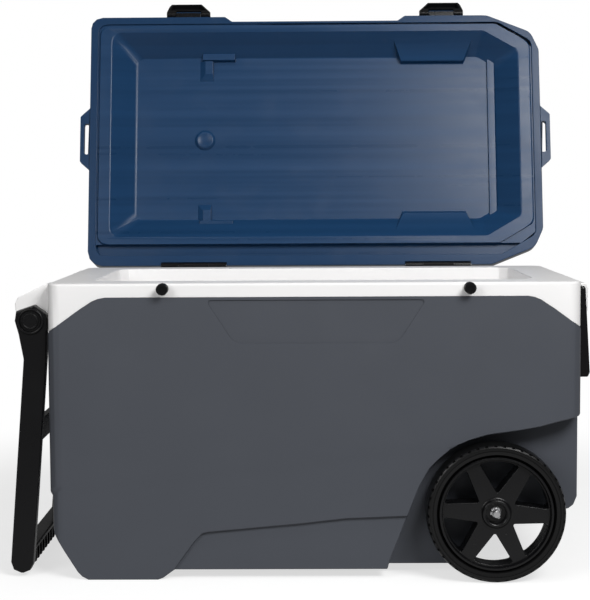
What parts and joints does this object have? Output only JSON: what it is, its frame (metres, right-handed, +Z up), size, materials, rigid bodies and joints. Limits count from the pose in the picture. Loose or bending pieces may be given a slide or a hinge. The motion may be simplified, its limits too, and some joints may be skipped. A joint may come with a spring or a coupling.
{
  "type": "wheeled cooler",
  "caption": "Large insulated cooler with a hinged latched lid, a swing-up tow handle at one end, a bail handle at the other, and spoked wheels on an axle.",
  "frame": {"origin": "on the ground, under the middle of the whole object's box with the lid open", "axes": "+Z up; the front with the latch studs faces -Y; the tow handle is at the -X end and the wheels are at the +X end"},
  "size_m": [0.9991, 0.6827, 1.0405],
  "materials": {
    "shell_grey": "fine moulded texture, satin",
    "rim_white": "smooth, soft gloss",
    "lid_navy": "smooth, soft gloss",
    "handle_black": "satin",
    "tyre_black": "satin, moulded",
    "axle_steel": "bright",
    "pin_steel": "plain",
    "foam_yellow": "cut foam",
    "drain_white": "satin",
    "gasket_rubber": "matt"
  },
  "bodies": {
    "cooler": {"outer_shell": "shell_grey", "foam_core": "foam_yellow", "liner": "rim_white", "latch_stud_left": "handle_black", "latch_stud_right": "handle_black", "drain_body": "drain_white", "drain_gasket": "gasket_rubber", "drain_nut": "drain_white", "axle": "axle_steel", "axle_spacer_front": "handle_black", "axle_spacer_rear": "handle_black", "push_nut_front": "axle_steel", "push_nut_rear": "axle_steel", "hinge_body_leaf_left": "handle_black", "hinge_body_leaf_right": "handle_black", "hinge_pin_left": "pin_steel", "hinge_pin_right": "pin_steel", "tow_bolt_front": "handle_black", "tow_bolt_rear": "handle_black", "side_handle_pin_front": "handle_black", "side_handle_pin_rear": "handle_black"},
    "lid": {"lid_shell": "lid_navy", "lid_liner": "lid_navy", "lid_foam": "foam_yellow", "hinge_lid_leaf_left": "handle_black", "hinge_lid_leaf_right": "handle_black", "latch_pin_left": "pin_steel", "latch_pin_right": "pin_steel"},
    "latch_left": {"latch_left": "handle_black"},
    "latch_right": {"latch_right": "handle_black"},
    "tow_handle": {"tow_arm_front": "handle_black", "tow_arm_rear": "handle_black", "tow_crossbar": "handle_black", "tow_grip": "handle_black"},
    "side_handle": {"side_handle": "handle_black"},
    "wheel_front": {"wheel_front": "handle_black", "tyre_front": "tyre_black"},
    "wheel_rear": {"wheel_rear": "handle_black", "tyre_rear": "tyre_black"},
    "drain_cap": {"drain_cap": "drain_white"}
  },
  "joints": [
    {"name": "lid_hinge", "type": "hinge", "parent": "cooler", "child": "lid", "pos_m": [0.0273, 0.18228, 0.5085], "axis": [1, 0, 0], "range_deg": [0, 102.5]},
    {"name": "latch_left_hinge", "type": "hinge", "parent": "lid", "child": "latch_left", "pos_m": [-0.2307, 0.30687, 1.01504], "axis": [1, 0, 0], "range_deg": [0, 136]},
    {"name": "latch_right_hinge", "type": "hinge", "parent": "lid", "child": "latch_right", "pos_m": [0.28531, 0.30687, 1.01504], "axis": [1, 0, 0], "range_deg": [0, 136]},
    {"name": "tow_handle_hinge", "type": "hinge", "parent": "cooler", "child": "tow_handle", "pos_m": [-0.45729, -0.07272, 0.4414], "axis": [0, 1, 0], "range_deg": [0, 150]},
    {"name": "side_handle_hinge", "type": "hinge", "parent": "cooler", "child": "side_handle", "pos_m": [0.48361, -0.07272, 0.488], "axis": [0, -1, 0], "range_deg": [0, 100]},
    {"name": "wheel_front_axle", "type": "hinge", "parent": "cooler", "child": "wheel_front", "pos_m": [0.32881, -0.31222, 0.117], "axis": [0, 1, 0], "continuous": true},
    {"name": "wheel_rear_axle", "type": "hinge", "parent": "cooler", "child": "wheel_rear", "pos_m": [0.32881, 0.16678, 0.117], "axis": [0, 1, 0], "continuous": true},
    {"name": "drain_cap_turn", "type": "hinge", "parent": "cooler", "child": "drain_cap", "pos_m": [-0.43929, -0.07272, 0.122], "axis": [-1, 0, 0], "range_deg": [0, 360]}
  ]
}
